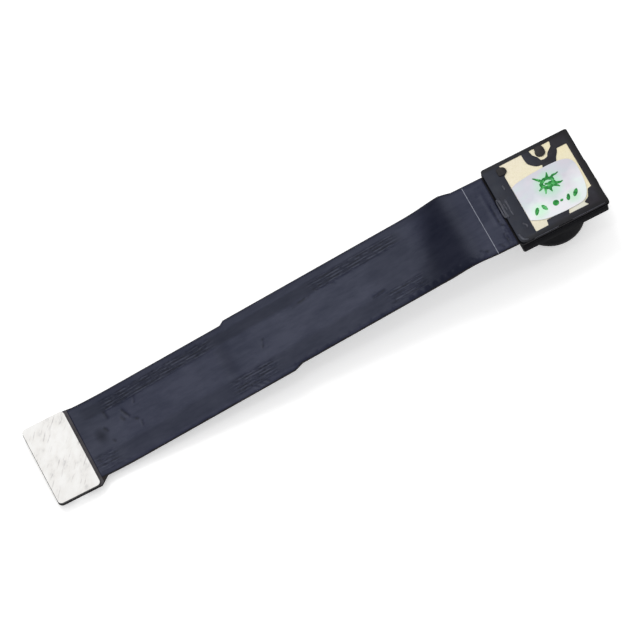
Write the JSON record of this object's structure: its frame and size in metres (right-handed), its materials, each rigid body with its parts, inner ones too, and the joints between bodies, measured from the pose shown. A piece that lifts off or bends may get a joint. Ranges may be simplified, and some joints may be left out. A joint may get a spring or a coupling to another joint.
{
  "type": "camera module",
  "caption": "Small fixed-focus camera module, lens down, with a long black flexible ribbon and a board-to-board plug under a bright steel plate.",
  "frame": {"origin": "on the optical axis, in the plane of the barrel's front rim, which is also the surface the module lies on", "axes": "+X along the ribbon from the plug to the head, +Y across the ribbon, +Z out of the back of the head, away from the lens"},
  "size_m": [0.0565, 0.0086, 0.0063],
  "materials": {
    "steel": "bright rolled steel with faint grey scratches",
    "adhesive": "black cured adhesive",
    "plug_plastic": "black moulded liquid-crystal polymer",
    "gold": "thin gold plating on copper alloy",
    "tin": "dull tin plating",
    "core": "amber polyimide over copper, seen only at cut edges",
    "film": "blue-black shield film, slightly satin, with trace relief",
    "board": "black glass-epoxy laminate",
    "mask": "black solder mask, satin",
    "ground_gold": "pale immersion gold over nickel",
    "sticker": "silver-white satin sticker with faint iridescence and green pen marks",
    "holder_plastic": "black moulded plastic",
    "barrel_plastic": "black moulded plastic, fine matte",
    "glue": "black epoxy",
    "silicon": "polished silicon with colour filter sheen",
    "die_bond": "white die-attach adhesive",
    "ceramic": "tan multilayer ceramic",
    "filter_glass": "blue-green infrared filter glass",
    "clear_glue": "pale ultraviolet-cured adhesive",
    "lens_resin": "clear optical resin with a faint violet coating",
    "foil": "black light-blocking film"
  },
  "bodies": {
    "root": {"connector_stiffener": "steel", "stiffener_adhesive": "adhesive", "plug_housing": "plug_plastic", "plug_contacts": "gold", "plug_hold_downs": "tin", "flex_core": "core", "top_shield_film": "film", "bottom_shield_film": "film", "junction_bead": "glue", "upper_rigid_layer": "board", "lower_rigid_layer": "board", "solder_mask": "mask", "ground_plate": "ground_gold", "back_label": "sticker", "lens_holder": "holder_plastic", "holder_glue": "glue", "sensor_die": "silicon", "die_attach": "die_bond", "bond_wires": "gold", "capacitor_bodies": "ceramic", "capacitor_terminals": "tin", "ir_filter": "filter_glass", "filter_glue": "clear_glue", "lens_barrel": "barrel_plastic", "lens_1": "lens_resin", "aperture_stop": "foil", "lens_2": "lens_resin", "lens_spacer": "foil", "lens_3": "lens_resin", "light_baffle": "foil", "lens_4": "lens_resin", "retaining_ring": "foil", "thread_glue": "clear_glue"}
  },
  "joints": []
}
